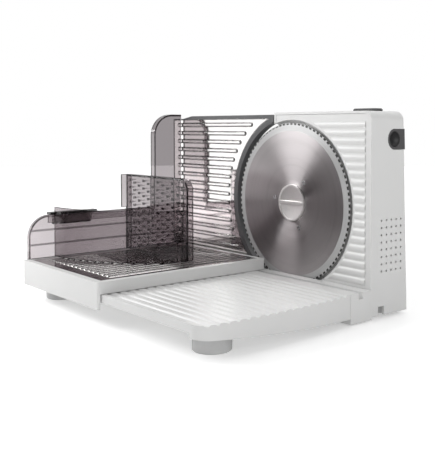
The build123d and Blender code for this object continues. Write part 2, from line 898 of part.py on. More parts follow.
def make_side_button():
    """Round safety button with a finger dimple, held by a flange behind the bezel."""
    front = housing_right - side_button_inset
    back = housing_right - bezel_depth - clearance
    button = rod_x(bezel_y, bezel_z, side_button_radius, back, front)
    button += rod_x(bezel_y, bezel_z, side_button_radius + flange_width, back - flange_thickness, back)
    button += rod_x(bezel_y, bezel_z, side_stem_radius, back - flange_thickness - side_stem, back)
    rim = side_button_radius - flange_width / 2
    ball = (rim * rim + dimple_depth * dimple_depth) / (2 * dimple_depth)
    return button - Pos(front + ball - dimple_depth, bezel_y, bezel_z) * Sphere(ball)


def make_interlock_switch():
    """Switch behind the safety button."""
    tip = housing_right - bezel_depth - clearance - flange_thickness - side_stem
    x1 = tip - side_button_travel - clearance
    return block(
        x1 - interlock_length,
        x1,
        bezel_y - interlock_depth / 2,
        bezel_y + interlock_depth / 2,
        shelf_top,
        shelf_top + interlock_height,
    )


def make_top_button():
    """Long push button on the top, held by a flange below the top wall."""
    top = housing_top + top_button_proud
    under = housing_top - wall - clearance
    cap = Pos(top_button_x, top_button_y) * RectangleRounded(
        top_button_length, top_button_width, top_button_width * top_button_corner_share
    )
    button = along_z(cap, under, top)
    button = chamfer(button.faces().sort_by(Axis.Z)[-1].edges(), top_button_edge)
    skirt = Pos(top_button_x, top_button_y) * Rectangle(
        top_button_length + 2 * flange_width, top_button_width + 2 * flange_width
    )
    button += along_z(skirt, under - flange_thickness, under)
    stem_y = top_button_y - top_button_width / 2 + top_stem_width / 2
    return button + block(
        top_button_x - top_stem_width / 2,
        top_button_x + top_stem_width / 2,
        stem_y - top_stem_width / 2,
        stem_y + top_stem_width / 2,
        under - flange_thickness - top_stem,
        under,
    )


def make_power_switch():
    """Switch below the top button, standing on the panel's shelf."""
    top = housing_top - wall - clearance - flange_thickness - top_stem - top_button_travel - clearance
    y1 = bezel_y - interlock_depth / 2 - switch_wall
    return block(
        top_button_x - power_switch_length / 2,
        top_button_x + power_switch_length / 2,
        y1 - power_switch_depth,
        y1,
        shelf_top,
        top,
    )


def make_grommet():
    """Rubber gland in the housing's bottom wall, where the supply lead would leave."""
    x, y = grommet_place
    gland = rod_z_axis(x, y, grommet_radius, bottom_wall_low - grommet_flange, bottom_wall_top)
    gland += rod_z_axis(x, y, grommet_radius + grommet_flange, bottom_wall_top, bottom_wall_top + grommet_flange)
    return gland - rod_z_axis(x, y, grommet_bore, -housing_bottom, bottom_wall_top + overrun)


def make_housing_screws():
    """Screws from the rear wall into the front panel's bosses."""
    screws = []
    for x, z in housing_screw_places:
        seat = housing_depth(z) - wall
        end = seat - housing_boss_length - housing_boss_length
        screws.append(screw(x, z, seat, end, -1))
    return screws


def make_gearbox_screws():
    """Screws from behind the gearbox plate into its posts."""
    return [screw(x, z, plate_back, recess_floor + clearance, -1) for x, z in post_places]


def make_base_screws():
    """Screws from inside the base block into the housing."""
    z = base_screw_z()
    return [screw(x, z, block_rear - wall, base_boss_length - wall, 1) for x in base_screw_xs]


def make_table_screws():
    """Screws from inside the base block into the table."""
    z = -table_top - table_screw_drop
    seat = -block_front + wall
    return [screw(x, z, seat, seat - table_screw_length, -1) for x in table_screw_xs]


def make_base_block():
    """Cross beam in front of the blade with the carriage's guide groove."""
    top = -table_top
    low = -block_bottom
    body = block(-block_left, block_right, -block_front, -blade_gap, low, top)
    body += block(-housing_left, block_right, -block_front, block_rear, low, top)
    inside = block(
        -block_left + wall, block_right - wall, -block_front + wall, -blade_gap - wall, low - overrun, top - wall
    )
    channel = block(
        -block_left,
        block_right,
        -groove_y - groove_width / 2 - wall,
        -groove_y + groove_width / 2 + wall,
        top - groove_depth - wall,
        top,
    )
    body = body - inside + channel
    foot_x, foot_y = rear_foot_left
    body += rod_z_axis(foot_x, foot_y, rear_foot_radius, low, top - wall)
    body -= block(
        -block_left - overrun,
        block_right + overrun,
        -groove_y - groove_width / 2,
        -groove_y + groove_width / 2,
        top - groove_depth,
        top + overrun,
    )
    body -= rod_y(0, 0, recess_radius, -blade_gap, overrun)
    for x in base_screw_xs:
        body -= rod_y(x, base_screw_z(), screw_radius + running_fit, -blade_gap - wall * 2, overrun)
        body -= rod_y(
            x, base_screw_z(), screw_head_radius + clearance, -blade_gap - wall * 2, block_rear - wall
        )
    for x in table_screw_xs:
        z = -table_top - table_screw_drop
        body -= rod_y(x, z, screw_radius + running_fit, -block_front - overrun, -block_front + wall * 2)
    return body


def table_outline(inset):
    """Table outline in X and Y with its bowed right side and rounded front corner."""
    rear = -block_front - seat_gap - inset
    left = -table_left + inset
    right = block_right - inset
    front = -table_front + inset
    bow = table_bulge
    corner = table_corner - inset
    middle = (rear + front) / 2
    bend = right + bow * bulge_front_share
    return make_face(
        Line((left, rear), (right, rear))
        + ThreePointArc((right, rear), (right + bow, middle), (bend, front + corner))
        + RadiusArc((bend, front + corner), (bend - corner, front), corner)
        + Line((bend - corner, front), (left, front))
        + Line((left, front), (left, rear))
    )


def make_table():
    """Ribbed tray in front of the blade: thin top, grooves along X and a skirt that tapers to the front."""
    top = -table_top
    low = top - skirt_rear
    table = along_z(table_outline(0), low, top) - along_z(table_outline(wall), low - overrun, top - wall)
    groove = flat(
        [
            (-table_groove_width / 2, top + overrun),
            (-table_groove_width / 2, top),
            (-table_groove_floor / 2, top - table_groove_depth),
            (table_groove_floor / 2, top - table_groove_depth),
            (table_groove_width / 2, top),
            (table_groove_width / 2, top + overrun),
        ]
    )
    count = int((table_front - block_front) / table_rib_pitch)
    for index in range(count):
        y = -block_front - table_rib_pitch * (index + first_groove_share)
        if y > -table_front + table_groove_width:
            table -= along_x(Pos(y, 0) * groove, -table_left - overrun, block_right + table_bulge + overrun)
    rear = (-block_front - wall, low)
    front = (-table_front - overrun, top - skirt_front)
    middle = ((rear[0] + front[0]) / 2, (rear[1] + front[1]) / 2 - skirt_bow)
    taper = make_face(
        ThreePointArc(rear, middle, front)
        + Polyline(front, (front[0], low - overrun), (rear[0], low - overrun), rear)
    )
    table -= along_x(taper, -table_left - overrun, block_right + table_bulge + overrun)
    edge_low = top - edge_drop
    table -= block(
        -table_left - overrun,
        block_right + table_bulge - post_width,
        -table_front - overrun,
        -table_front + wall * 2,
        low - overrun,
        edge_low,
    )
    table -= block(
        -table_left - overrun,
        -table_left + wall * 2,
        -table_front - overrun,
        -block_front - wall * 2,
        low - overrun,
        edge_low,
    )
    foot_top = -ground + foot_height
    for x, y in (front_foot_right, front_foot_left):
        table += rod_z_axis(x, y, foot_radius, foot_top, top - wall)
    for x in table_screw_xs:
        z = -table_top - table_screw_drop
        rear = -block_front - seat_gap
        table += rod_y(x, z, boss_radius, rear - table_screw_length, rear)
        table += block(x - wall / 2, x + wall / 2, rear - table_screw_length, rear, z, top - wall)
        table -= rod_y(x, z, screw_radius + running_fit, rear - table_screw_length - overrun, rear + overrun)
    return table


def make_feet():
    """Two large feet below the table and two small ones below the housing and the base block."""
    feet = []
    for x, y in (front_foot_right, front_foot_left):
        foot = rod_z_axis(x, y, foot_radius, -ground, -ground + foot_height)
        feet.append(chamfer(foot.edges().group_by(Axis.Z)[0], foot_chamfer))
    x, y = rear_foot_right
    peg = rear_foot_radius - wall
    foot = rod_z_axis(x, y, rear_foot_radius, -ground, bottom_wall_low)
    foot -= rod_z_axis(x, y, peg + running_fit, bottom_wall_low - foot_seat(), bottom_wall_low)
    feet.append(chamfer(foot.edges().group_by(Axis.Z)[0], foot_chamfer))
    x, y = rear_foot_left
    feet.append(rod_z_axis(x, y, rear_foot_radius, -ground, -block_bottom))
    return feet


def make_carriage_frame():
    """Sliding food carriage: shallow frame, deep front skirt and the rail that runs in the base block."""
    top = -carriage_top
    low = -carriage_foot
    outline = Pos((-carriage_left - carriage_right) / 2, (-carriage_front - carriage_rear) / 2) * RectangleRounded(
        carriage_left - carriage_right, carriage_front - carriage_rear, carriage_corner
    )
    frame = along_z(outline, top - carriage_skirt, top)
    frame -= block(
        -carriage_left - overrun,
        -carriage_right + overrun,
        -carriage_front + wall,
        overrun,
        top - carriage_skirt - overrun,
        low,
    )
    frame -= block(
        -carriage_left + wall,
        -carriage_right - wall,
        -carriage_front + wall,
        -carriage_rear - wall,
        low - overrun,
        top - wall - sheet_thickness,
    )
    frame -= carriage_sheet_blank(0)
    rail_y0 = -groove_y - groove_width / 2 + clearance
    rail_y1 = -groove_y + groove_width / 2 - clearance
    return frame + block(
        -carriage_left + wall / 2,
        -carriage_right - wall / 2,
        rail_y0,
        rail_y1,
        -table_top - groove_depth + clearance,
        top - wall,
    )


def carriage_sheet_blank(gap):
    """Flat steel sheet let into the carriage, drawn in by gap."""
    return block(
        -carriage_left + sheet_left_margin + gap,
        -carriage_right - sheet_right_margin - gap,
        -carriage_front + sheet_front_margin + gap,
        -carriage_rear - sheet_rear_margin - gap,
        -carriage_top - sheet_thickness,
        -carriage_top + (overrun if gap == 0 else 0),
    )


def raised_rib(length, width, height):
    """Pressed rib with rounded ends and sloping flanks, lying along X on Z = 0."""
    points = []
    straight = (length - width) / 2
    for side in (1, -1):
        for degrees in rib_end_angles:
            angle = math.radians(degrees)
            x = straight + width / 2 * math.cos(angle)
            points.append((side * x, side * width / 2 * math.sin(angle)))
    return extrude(flat(points), amount=height, taper=rib_slope)


def make_carriage_sheet():
    """Steel sheet of the carriage with its pressed ribs along Y."""
    sheet = carriage_sheet_blank(running_fit)
    x0 = -carriage_left + sheet_left_margin
    x1 = -carriage_right - sheet_right_margin
    y0 = -carriage_front + sheet_front_margin + carriage_rib_start
    y1 = -carriage_rear - sheet_rear_margin - carriage_rib_end
    rib = Rot(0, 0, 90) * raised_rib(y1 - y0, carriage_rib_width, carriage_rib_height)
    count = int((x1 - x0 - carriage_rib_pitch) / carriage_rib_pitch)
    first = (x0 + x1 - (count - 1) * carriage_rib_pitch) / 2
    for index in range(count):
        sheet += Pos(first + index * carriage_rib_pitch, (y0 + y1) / 2, -carriage_top) * rib
    return sheet


def guard_outline():
    """Guard outline in Y and Z: low wall with a round front corner and a tall rounded shield."""
    front = -carriage_front + guard_front_gap
    low = -carriage_top
    tall_front = -guard_rear - tall_width
    return make_face(
        Line((front, low), (front, guard_top - guard_corner))
        + RadiusArc((front, guard_top - guard_corner), (front + guard_corner, guard_top), guard_corner)
        + Line((front + guard_corner, guard_top), (tall_front, guard_top))
        + Line((tall_front, guard_top), (tall_front, tall_top - tall_corner))
        + RadiusArc((tall_front, tall_top - tall_corner), (tall_front + tall_corner, tall_top), tall_corner)
        + Line((tall_front + tall_corner, tall_top), (-guard_rear, tall_top))
        + Line((-guard_rear, tall_top), (-guard_rear, low))
        + Line((-guard_rear, low), (front, low))
    )


def tall_rim_outline():
    """Rim that follows the front and the top of the tall shield, in Y and Z."""
    tall_front = -guard_rear - tall_width
    inner = tall_corner - rim_thickness
    return make_face(
        Line((tall_front, guard_top), (tall_front, tall_top - tall_corner))
        + RadiusArc((tall_front, tall_top - tall_corner), (tall_front + tall_corner, tall_top), tall_corner)
        + Line((tall_front + tall_corner, tall_top), (-guard_rear, tall_top))
        + Line((-guard_rear, tall_top), (-guard_rear, tall_top - rim_thickness))
        + Line((-guard_rear, tall_top - rim_thickness), (tall_front + tall_corner, tall_top - rim_thickness))
        + RadiusArc(
            (tall_front + tall_corner, tall_top - rim_thickness),
            (tall_front + rim_thickness, tall_top - tall_corner),
            -inner,
        )
        + Line((tall_front + rim_thickness, tall_top - tall_corner), (tall_front + rim_thickness, guard_top))
        + Line((tall_front + rim_thickness, guard_top), (tall_front, guard_top))
    )


def low_rim_outline():
    """Rim that follows the front and the top of the low wall, in Y and Z."""
    front = -carriage_front + guard_front_gap
    inner = guard_corner - rim_thickness
    tall_front = -guard_rear - tall_width + rim_thickness
    return make_face(
        Line((front, -carriage_top), (front, guard_top - guard_corner))
        + RadiusArc((front, guard_top - guard_corner), (front + guard_corner, guard_top), guard_corner)
        + Line((front + guard_corner, guard_top), (tall_front, guard_top))
        + Line((tall_front, guard_top), (tall_front, guard_top - rim_thickness))
        + Line((tall_front, guard_top - rim_thickness), (front + guard_corner, guard_top - rim_thickness))
        + RadiusArc(
            (front + guard_corner, guard_top - rim_thickness),
            (front + rim_thickness, guard_top - guard_corner),
            -inner,
        )
        + Line((front + rim_thickness, guard_top - guard_corner), (front + rim_thickness, -carriage_top))
        + Line((front + rim_thickness, -carriage_top), (front, -carriage_top))
    )


def make_guard():
    """Smoke-tinted guard on the carriage's left edge, with its hollow rail and stiffening lines."""
    outer = -guard_face - guard_thickness
    guard = along_x(guard_outline(), outer, -guard_face)
    guard += along_x(tall_rim_outline(), -guard_face - tall_rim, -guard_face)
    guard += along_x(low_rim_outline(), -rail_outer, -guard_face)
    front = -carriage_front + guard_front_gap
    rail_front = front + guard_corner
    line_front = front + rim_thickness
    tall_front = -guard_rear - tall_width
    guard += block(
        -rail_outer, -rail_outer + rail_lip, rail_front, tall_front + rim_thickness, rail_bottom, guard_top
    )
    for drop in line_drops:
        z = guard_top - drop
        guard += block(
            outer - line_proud, outer + line_proud, line_front, tall_front, z - line_height / 2, z + line_height / 2
        )
    return guard


def make_saddle():
    """Black saddle that slides on the guard's rail."""
    inner_face = -guard_face + clearance
    outer_face = -rail_outer - clearance
    cap_low = guard_top + clearance
    front = -saddle_front
    rear = -saddle_front + saddle_length
    saddle = block(outer_face - saddle_leg, inner_face + saddle_leg, front, rear, cap_low, cap_low + saddle_cap)
    front += saddle_inset
    rear -= saddle_inset
    skirt_low = guard_top - saddle_skirt
    saddle += block(inner_face, inner_face + saddle_leg, front, rear, skirt_low, cap_low + saddle_cap)
    hook_low = rail_bottom - clearance - saddle_hook
    saddle += block(outer_face - saddle_leg, outer_face, front, rear, hook_low, cap_low + saddle_cap)
    hook_end = -rail_outer + rail_lip + saddle_hook
    return saddle + block(outer_face - saddle_leg, hook_end, front, rear, hook_low, rail_bottom - clearance)


def shield_points(inset):
    """Plan curve of the hand shield from the saddle to the right edge of the plate."""
    centre_x = pusher_left
    centre_y = -pusher_rear - pusher_depth
    wide = -pusher_right - centre_x - inset
    deep = shield_front + centre_y - inset
    points = []
    for degrees in shield_angles:
        angle = math.radians(degrees)
        across = math.sin(angle) ** (2 / shield_curve)
        along = math.cos(angle) ** (2 / shield_curve) if degrees < 90 else 0
        points.append((centre_x + wide * across, centre_y - deep * along))
    return points


def make_hand_shield():
    """Curved hand shield between the saddle and the spiked plate."""
    outer = shield_points(0)
    inner = shield_points(shield_thickness)
    outline = make_face(
        Spline(*outer, tangents=[(1, 0), (0, 1)])
        + Line(outer[-1], inner[-1])
        + Spline(*inner, tangents=[(1, 0), (0, 1)])
        + Line(inner[0], outer[0])
    )
    return along_z(outline, pusher_bottom, shield_top)


def pusher_outline(inset):
    """Outline of the spiked plate in X and Z."""
    left = pusher_left + inset
    right = -pusher_right - inset
    top = pusher_top - inset
    corner = pusher_corner - inset
    return make_face(
        Line((left, pusher_bottom), (left, top))
        + Line((left, top), (right - corner, top))
        + RadiusArc((right - corner, top), (right, top - corner), corner)
        + Line((right, top - corner), (right, pusher_bottom))
        + Line((right, pusher_bottom), (left, pusher_bottom))
    )


def make_pusher_plate():
    """Spiked plate of the pusher: a tray whose rim and spikes face the food, with a flange over the rail."""
    rear = -pusher_rear
    front = rear - pusher_depth
    plate = along_y(pusher_outline(0), front, rear)
    edges = plate.faces().sort_by(Axis.Y)[0].edges()
    rounded = edges.filter_by(
        lambda edge: edge.center().Z > pusher_bottom + wall and edge.center().X > pusher_left + wall
    )
    plate = fillet(rounded, pusher_edge)
    plate -= along_y(pusher_outline(pusher_rim), front + pusher_plate_thickness, rear + overrun)
    plate += block(
        pusher_left,
        pusher_left + pusher_rim,
        front - pusher_flange,
        front + pusher_plate_thickness,
        guard_top + 2 * clearance + saddle_cap,
        pusher_top,
    )
    spike = Pos(0, front + pusher_plate_thickness, 0) * Rot(-90, 0, 0) * extrude(
        Rectangle(spike_width, spike_width),
        amount=spike_length,
        taper=spike_taper,
    )
    right = -pusher_right - spike_margin
    left = pusher_left + spike_margin
    top = pusher_top - spike_margin
    for column in range(spike_columns):
        x = left + column * spike_pitch_x
        drop = (column % spike_stagger) * spike_pitch_z / spike_stagger
        for row in range(spike_rows):
            z = top - drop - row * spike_pitch_z
            past = (max(0, x - right + spike_margin), max(0, z - top + spike_margin))
            in_corner = math.hypot(*past) > spike_margin
            if x < right and z > pusher_bottom + spike_width and not in_corner:
                plate += Pos(x, 0, z) * spike
    return plate


def make_gauge_carrier():
    """Carrier of the gauge sheet: framed plate, stiffened behind, with the arm to the slider."""
    back = sheet_thickness + gauge_plate
    deep = back + gauge_stiffener
    width = gauge_stiffener_width
    low = -gauge_bottom
    carrier = block(-gauge_left, -gauge_right, 0, back, low, gauge_top)
    arc = rod_y(0, 0, gauge_band_inner + width, 0, deep)
    carrier += arc & block(-gauge_left, -gauge_right, 0, deep, low, gauge_top)
    column_pitch = (gauge_left - gauge_band_inner) / gauge_stiffener_columns
    for index in range(gauge_stiffener_columns):
        x = -gauge_left + index * column_pitch
        carrier += block(x, x + width, back - width, deep, low, gauge_top)
    row_pitch = (gauge_top - low - width) / gauge_stiffener_rows
    for index in range(gauge_stiffener_rows + 1):
        z = low + index * row_pitch
        carrier += block(-gauge_left, -gauge_right, back - width, deep, z, z + width)
    carrier += block(-arm_left, -arm_left + arm_post_width, back, arm_start + arm_thickness, -arm_bottom, -arm_top)
    carrier -= rod_y(0, 0, gauge_band_inner, -overrun, arm_start)
    carrier -= gauge_window(0, overrun)
    carrier -= along_y(
        flat(
            [
                (-gauge_step_end, gauge_top),
                (-gauge_step_start, gauge_top - gauge_step),
                (-gauge_left - overrun, gauge_top - gauge_step),
                (-gauge_left - overrun, gauge_top + overrun),
                (-gauge_step_end, gauge_top + overrun),
            ]
        ),
        -overrun,
        deep + overrun,
    )
    carrier += block(-arm_left, slider_right, arm_start, arm_start + arm_thickness, -arm_bottom, -arm_top)
    carrier += block(-slider_left, slider_right, arm_start, arm_start + arm_thickness, -slider_bottom, -slider_top)
    end = arm_start + arm_thickness + overrun
    for x in rod_xs:
        carrier -= rod_y(x, rod_z, rod_radius + bush_wall + running_fit, 0, end)
    return carrier - rod_y(spindle_x, spindle_z, nut_radius + running_fit, 0, end)


def gauge_window(gap, front):
    """Recess of the carrier's frame that the steel sheet lies in, drawn in by gap and open to the front."""
    left = -gauge_left + gauge_left_frame + gap
    top = gauge_top - gauge_bar - gap
    low = -gauge_sheet_bottom + gap
    window = block(left, -gauge_right, -front, sheet_thickness, low, top)
    return window - rod_y(0, 0, gauge_band_inner + gauge_band + gap, -front - overrun, sheet_thickness + overrun)


def make_gauge_sheet():
    """Polished steel sheet of the gauge with pressed horizontal ribs that follow the blade's arc."""
    sheet = gauge_window(running_fit, 0)
    left = -gauge_left + gauge_rib_left
    reach = gauge_band_inner + gauge_band + gauge_rib_end_gap
    for index in range(gauge_rib_count):
        z = gauge_rib_first - index * gauge_rib_pitch
        right = -math.sqrt(reach * reach - z * z)
        rib = Rot(90, 0, 0) * raised_rib(right - left, gauge_rib_width, gauge_rib_height)
        sheet += Pos((left + right) / 2, 0, z) * rib
    return sheet


def make_gauge_nut():
    """Flanged nut of the gauge, driven by the dial's spindle."""
    front = arm_start - nut_flange
    nut = rod_y(spindle_x, spindle_z, nut_radius, arm_start, arm_start + arm_thickness)
    nut += rod_y(spindle_x, spindle_z, nut_flange_radius, front, arm_start)
    return nut - rod_y(spindle_x, spindle_z, spindle_radius + running_fit, 0, arm_start + arm_thickness + overrun)


def make_gauge_bushes():
    """Plain bushes of the slider on the guide rods."""
    bushes = []
    for x in rod_xs:
        bush = rod_y(x, rod_z, rod_radius + bush_wall, arm_start, arm_start + arm_thickness)
        bushes.append(bush - rod_y(x, rod_z, rod_radius + running_fit, 0, arm_start + arm_thickness + overrun))
    return bushes


def make_guide_rods():
    """Steel rods that guide the gauge, seated in the front panel and the rear wall."""
    rear = housing_depth(rod_z) - wall - clearance
    return [rod_y(x, rod_z, rod_radius, recess_depth + wall / 2 + clearance, rear) for x in rod_xs]


def make_spindle():
    """Coarse adjusting spindle of the thickness dial."""
    return rod_y(
        spindle_x, spindle_z, spindle_radius, recess_depth + wall / 2 + clearance, dial_face + dial_height / 2
    )


def make_spindle_clip():
    """Snap ring on the spindle inside the rear wall."""
    back = housing_depth(spindle_z) - wall - 2 * clearance
    ring = rod_y(spindle_x, spindle_z, spindle_radius + 2 * clip_width, back - 2 * clip_thickness, back)
    return ring - rod_y(spindle_x, spindle_z, spindle_radius + running_fit / 2, 0, back + overrun)


def make_dial():
    """Fluted thickness dial with a grip bar across its face."""
    front = dial_face + clearance
    back = front + dial_height
    body = rod_y(spindle_x, spindle_z, dial_radius, front, back - dial_grip_height)
    body = chamfer(body.edges().filter_by(GeomType.CIRCLE).sort_by(Axis.Y)[-1], dial_chamfer)
    for index in range(dial_flutes):
        angle = 2 * math.pi * index / dial_flutes
        x = spindle_x + dial_radius * math.cos(angle)
        z = spindle_z + dial_radius * math.sin(angle)
        flute = Pos(x, z) * Rot(0, 0, math.degrees(angle)) * RegularPolygon(dial_flute_radius, flute_sides)
        body -= along_y(flute, front - overrun, back + overrun)
    grip = block(
        spindle_x - dial_radius,
        spindle_x + dial_radius,
        back - dial_grip_height - wall,
        back,
        spindle_z - dial_grip_width / 2,
        spindle_z + dial_grip_width / 2,
    )
    body += grip & rod_y(spindle_x, spindle_z, dial_radius - 2 * dial_flute_radius, front, back)
    return body - rod_y(spindle_x, spindle_z, spindle_radius + running_fit / 2, 0, dial_face + dial_height / 2)


keep("housing_shell", make_housing_shell())
keep("front_panel", make_front_panel())
keep("base_block", make_base_block())
keep("table", make_table())
keep("rubber_feet", *make_feet())
keep("side_bezel", make_side_bezel())
keep("power_switch", make_power_switch())
keep("interlock_switch", make_interlock_switch())
keep("cord_grommet", make_grommet())
keep("gearbox_plate", make_gearbox_plate())
keep("stub_axle", make_stub_axle())
keep("idler_pin", make_idler_pin())
keep("idler_clip", make_idler_clip())
keep("motor_can", make_motor_can())
keep("motor_cap", make_motor_cap())
keep("motor_magnets", *make_magnets())
keep("guide_rods", *make_guide_rods())
keep("housing_screws", *make_housing_screws())
keep("gearbox_screws", *make_gearbox_screws())
keep("base_screws", *make_base_screws())
keep("table_screws", *make_table_screws())
keep("blade", make_blade())
keep("blade_ring_gear", make_ring_gear())
keep("blade_rivets", *make_rivets())
keep("blade_lock", make_blade_lock())
keep("idler_gear", make_idler())
keep("motor_rotor", make_rotor())
keep("motor_pinion", make_motor_pinion())
keep("gauge_carrier", make_gauge_carrier())
keep("gauge_sheet", make_gauge_sheet())
keep("gauge_nut", make_gauge_nut())
keep("gauge_bushes", *make_gauge_bushes())
keep("thickness_dial", make_dial())
keep("dial_spindle", make_spindle())
keep("spindle_clip", make_spindle_clip())
keep("carriage_frame", make_carriage_frame())
keep("carriage_sheet", make_carriage_sheet())
keep("guard", make_guard())
keep("pusher_saddle", make_saddle())
keep("hand_shield", make_hand_shield())
keep("pusher_plate", make_pusher_plate())
keep("top_button", make_top_button())
keep("side_button", make_side_button())
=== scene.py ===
import bpy
import json
import math
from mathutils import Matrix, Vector


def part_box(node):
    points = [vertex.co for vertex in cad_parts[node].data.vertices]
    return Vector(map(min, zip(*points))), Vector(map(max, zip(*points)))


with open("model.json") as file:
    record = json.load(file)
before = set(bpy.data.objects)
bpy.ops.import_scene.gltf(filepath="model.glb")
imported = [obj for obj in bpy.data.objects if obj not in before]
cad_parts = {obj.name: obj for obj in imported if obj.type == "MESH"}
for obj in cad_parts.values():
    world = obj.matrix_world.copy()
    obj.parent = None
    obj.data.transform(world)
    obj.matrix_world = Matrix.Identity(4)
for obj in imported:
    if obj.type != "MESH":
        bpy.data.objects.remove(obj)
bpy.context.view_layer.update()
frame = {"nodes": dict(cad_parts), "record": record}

MM = 0.001


def grey(level):
    return (level, level, level)


# The blade: the photograph was measured from its centre
blade_low, blade_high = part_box("blade")
ORIGIN = Vector(((blade_low[0] + blade_high[0]) / 2, blade_low[1], (blade_low[2] + blade_high[2]) / 2))
BLADE_RADIUS = (blade_high[0] - blade_low[0]) / 2
BLADE_TEETH = 90

# The camera, found from the photograph's straight edges and the blade's ellipse
IMAGE_WIDTH = 435
IMAGE_HEIGHT = 468
FOCAL_PIXELS = 773.66
PRINCIPAL_PIXEL = (262.0, 154.72)
CAMERA_FROM_BLADE = (601.0, -556.9, 79.7)
CAMERA_AZIMUTH = 49.317
CAMERA_PITCH = 2.0
SENSOR_WIDTH = 36.0
NEAREST_SEEN = 10 * MM

# Noises of the materials: features by the metre, and detail
NOISES = {
    "plastic_drift": (9.0, 4.0),
    "plastic_patches": (30.0, 3.0),
    "mould_grain": (1400.0, 2.0),
    "smoke_drift": (12.0, 3.0),
    "cut_drift": (40.0, 3.0),
    "smoke_gloss": (60.0, 3.0),
    "smoke_waves": (25.0, 1.0),
    "saddle_drift": (20.0, 3.0),
    "saddle_gloss": (80.0, 3.0),
    "turned_lines": (2600.0, 3.0),
    "turned_bands": (160.0, 2.0),
    "grinding": (300.0, 4.0),
    "steel_drift": (14.0, 3.0),
    "rubber_dust": (60.0, 5.0),
    "rubber_gloss": (200.0, 3.0),
    "rubber_grain": (1500.0, 3.0),
    "floor_drift": (2.0, 3.0),
    "floor_gloss": (5.0, 3.0),
}
NOISE_ROUGHNESS = 0.55

# Stops of the colour ramps, and spans of what drives a value
RAMP_STOPS = (0.3, 0.7)
STEEL_STOPS = (0.35, 0.65)
FACE_STOPS = (0.7, 1.0)
NOISE_SPAN = (0.25, 0.75)
SHARE_SPAN = (0.0, 1.0)

# Sockets of the mix node that take the factor and the two colours, and that give the mixed colour
MIX_COLOR_INPUTS = (0, 6, 7)
MIX_COLOR_OUTPUT = 2

# Edges: how far the softened normal turns from the true one where an edge counts in full
EDGE_TURN = 0.05
EDGE_SAMPLES = 4

# Moulded plastics: darker and lighter colour, roughness, clear coat
PLASTICS = {
    "white_plastic": dict(dark=(0.68, 0.68, 0.675), light=(0.71, 0.71, 0.705), gloss=(0.30, 0.42), coat=0.2),
    "gauge_plastic": dict(dark=(0.065, 0.065, 0.068), light=(0.085, 0.085, 0.088), gloss=(0.32, 0.45)),
    "dark_plastic": dict(dark=(0.085, 0.083, 0.085), light=(0.11, 0.107, 0.11), gloss=(0.35, 0.5)),
    "top_button_plastic": dict(dark=grey(0.08), light=(0.10, 0.10, 0.105), gloss=(0.35, 0.5)),
    "button_plastic": dict(dark=(0.025, 0.025, 0.026), light=(0.035, 0.035, 0.036), gloss=(0.3, 0.45)),
    "switch_plastic": dict(dark=grey(0.035), light=grey(0.05), gloss=(0.4, 0.6)),
    "gear_plastic": dict(dark=(0.74, 0.72, 0.66), light=(0.80, 0.78, 0.72), gloss=(0.45, 0.6)),
}
PLASTIC_IOR = 1.5
PLASTIC_EDGE = 0.4 * MM
GRAIN_RELIEF = 0.04 * MM
GRAIN_IN_GLOSS = 0.25
COAT_ROUGHNESS = 0.18

# Smoke plastic: its volume takes up light by the metre, and its cut edges get a painted dark shade
SMOKE_DENSITY = 430.0
SMOKE_TINT = (0.30, 0.245, 0.265, 1.0)
SMOKE_IOR = 1.3
SMOKE_CLEAR = ((0.94, 0.925, 0.93), (0.98, 0.965, 0.97))
# Painted shade: the dark colour laid on cut edges of the smoke plastic
SMOKE_CUT_SHADE = ((0.04, 0.036, 0.038), (0.08, 0.074, 0.077))
SMOKE_GLOSS = (0.015, 0.04)
WAVE_RELIEF = 0.02 * MM
CUT_WIDTH = 1.3 * MM

# The pusher's plate: inside its rim, spikes rise from its face with roots in painted dark shade and nearly
# clear shafts
PLATE_RIM = 6 * MM
PAST_FACE = 0.1 * MM
SPIKE_LENGTH = 9.4 * MM
SPIKE_ROOT = 2 * MM
SHAFT_ALPHA = 0.04

# The pusher's saddle: a black cap over smoke legs
SADDLE_CAP = 2.4 * MM
SADDLE_BLUR = 0.2 * MM
SADDLE_BLACK = (grey(0.012), grey(0.02))
SADDLE_LEGS = ((0.90, 0.88, 0.88), (0.94, 0.92, 0.92))
SADDLE_GLOSS = (0.2, 0.3)
SADDLE_EDGE = 0.3 * MM

# Blade: turned face whose lines change a little round it, ground bevel, and painted dark shade on the steel
# at the gullets between the tips of the teeth, whose span is in cosines of the angle from a tip
BLADE_FACE = ((0.42, 0.395, 0.40), (0.47, 0.445, 0.45))
BLADE_BEVEL = (grey(0.56), grey(0.64))
BLADE_GULLET_SHADE = (grey(0.015), grey(0.03))
BLADE_GLOSS = (0.30, 0.33)
BLADE_ANISOTROPY = 0.95
QUARTER_TURN = 0.25
TURNED_RELIEF = 0.004 * MM
TURNED_TWIST = 0.6 * MM
BEVEL_SHARE = 0.9
BEVEL_BLUR = 0.2 * MM
BEVEL_METALLIC = 0.5
BEVEL_ROUGHER = 0.25
GULLET_DEPTH = 2.2 * MM
GULLET_BLUR = 0.3 * MM
GULLET_SPAN = (-0.1, 0.5)
